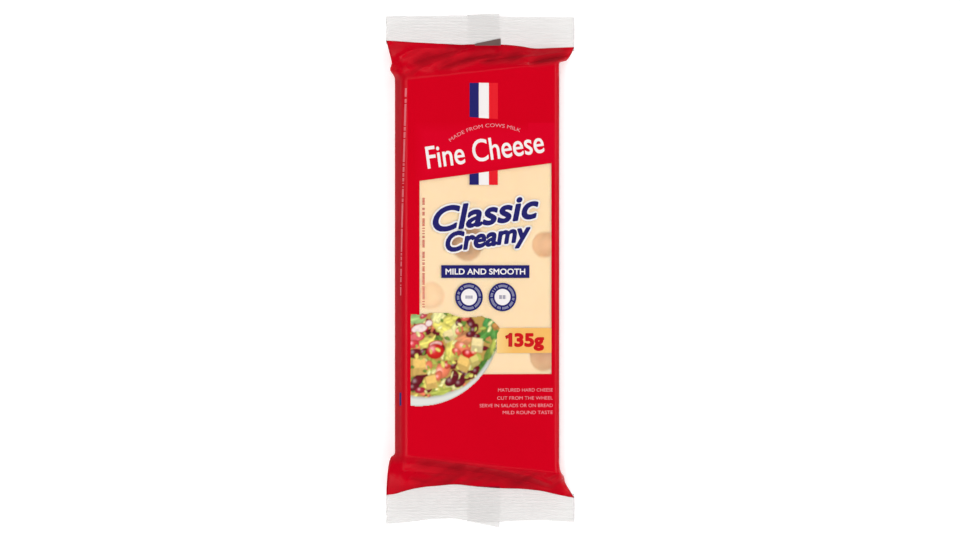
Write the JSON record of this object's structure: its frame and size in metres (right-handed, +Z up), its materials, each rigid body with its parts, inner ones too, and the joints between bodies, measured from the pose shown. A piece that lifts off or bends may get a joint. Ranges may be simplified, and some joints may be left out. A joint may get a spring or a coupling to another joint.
{
  "type": "flow-wrapped cheese block",
  "caption": "Flat block of holed hard cheese with slanted ends, in a printed flow-wrap film with a clear window, a fin seal folded flat on the back and a crimped clear seal at each end.",
  "frame": {"origin": "under the middle of the pack, on the surface that it lies on", "axes": "+Z up, out of the printed front; +Y along the pack to its top; +X to the pack's right-hand side as its front is read"},
  "size_m": [0.0788, 0.2104, 0.013],
  "materials": {
    "cheese": "waxy cut face, slightly moist, pale yellow with tan holes",
    "printed_film": "glossy laminate film, reverse printed in red, with a clear window",
    "clear_film": "milky clear film, crimped in fine ribs"
  },
  "bodies": {
    "root": {"cheese_block": "cheese", "film_sleeve": "printed_film", "top_end_seal": "clear_film", "bottom_end_seal": "clear_film"}
  },
  "joints": []
}
